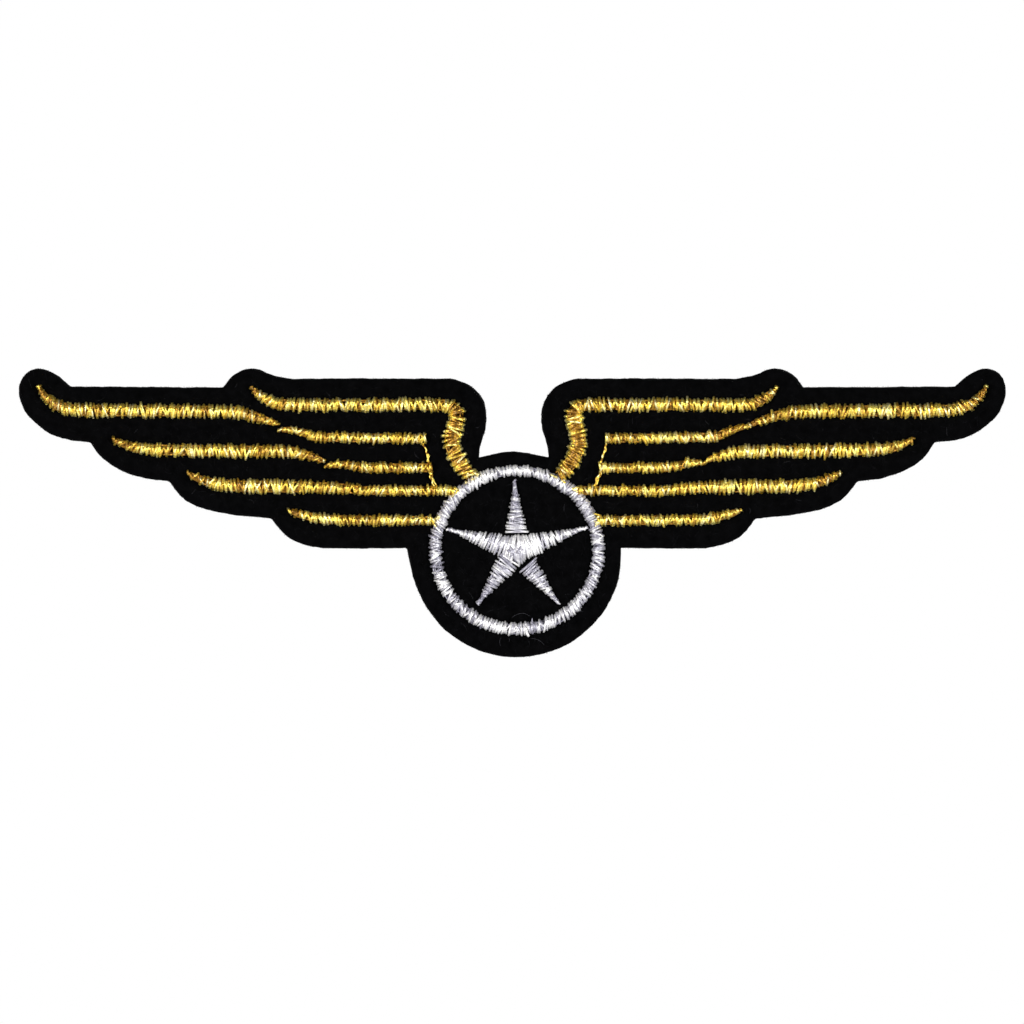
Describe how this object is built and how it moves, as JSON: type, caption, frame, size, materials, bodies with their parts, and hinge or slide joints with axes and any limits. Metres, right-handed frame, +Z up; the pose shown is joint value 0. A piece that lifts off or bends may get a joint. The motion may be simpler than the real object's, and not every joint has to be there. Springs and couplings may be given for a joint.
{
  "type": "embroidered pilot wings badge",
  "caption": "Felt wings badge with gold satin-stitched feathers, a pale star in a stitched ring, and a bar pin with a turning safety catch behind.",
  "frame": {"origin": "centre of the ring, on the rear face of the backing felt", "axes": "+X along the wingspan, +Z up as worn, +Y out of the rear face towards the wearer; the embroidered face looks along -Y"},
  "size_m": [0.1153, 0.0087, 0.0337],
  "materials": {
    "black_felt": "matt wool felt with a fine raised nap",
    "stabiliser_cloth": "pale stiff woven cloth",
    "gold_thread": "metallic gold embroidery thread, glossy, in satin stitch",
    "silver_thread": "white and silver embroidery thread with a soft sheen, in satin stitch",
    "nickel_steel": "nickel-plated pressed steel",
    "sewing_thread": "matt black spun thread"
  },
  "bodies": {
    "badge": {"front_felt": "black_felt", "backing_felt": "black_felt", "stabiliser": "stabiliser_cloth", "right_shoulder_band": "gold_thread", "right_first_primary_outer": "gold_thread", "right_first_primary_inner": "gold_thread", "right_second_primary_outer": "gold_thread", "right_second_primary_inner": "gold_thread", "right_third_primary": "gold_thread", "right_fourth_primary": "gold_thread", "left_shoulder_band": "gold_thread", "left_first_primary_outer": "gold_thread", "left_first_primary_inner": "gold_thread", "left_second_primary_outer": "gold_thread", "left_second_primary_inner": "gold_thread", "left_third_primary": "gold_thread", "left_fourth_primary": "gold_thread", "right_jump_thread_1": "gold_thread", "right_jump_thread_2": "gold_thread", "left_jump_thread_1": "gold_thread", "left_jump_thread_2": "gold_thread", "ring": "silver_thread", "star_centre": "silver_thread", "star_top_point": "silver_thread", "star_left_point": "silver_thread", "star_lower_left_point": "silver_thread", "star_lower_right_point": "silver_thread", "star_right_point": "silver_thread", "sewing_tack_1": "sewing_thread", "sewing_tack_2": "sewing_thread", "sewing_tack_3": "sewing_thread", "sewing_tack_4": "sewing_thread", "sewing_tack_5": "sewing_thread", "sewing_tack_6": "sewing_thread", "pin_plate": "nickel_steel", "hinge_bracket": "nickel_steel", "hinge_rivet": "nickel_steel", "catch_housing": "nickel_steel"},
    "pin_needle": {"needle": "nickel_steel"},
    "safety_catch": {"catch_barrel": "nickel_steel"}
  },
  "joints": [
    {"name": "needle_hinge", "type": "hinge", "parent": "badge", "child": "pin_needle", "pos_m": [-0.0165, 0.00355, 0.008], "axis": [0, 0, 1], "range_deg": [0, 85]},
    {"name": "catch_turn", "type": "hinge", "parent": "badge", "child": "safety_catch", "pos_m": [0.014, 0.00355, 0.008], "axis": [-1, 0, 0], "range_deg": [0, 100]}
  ]
}
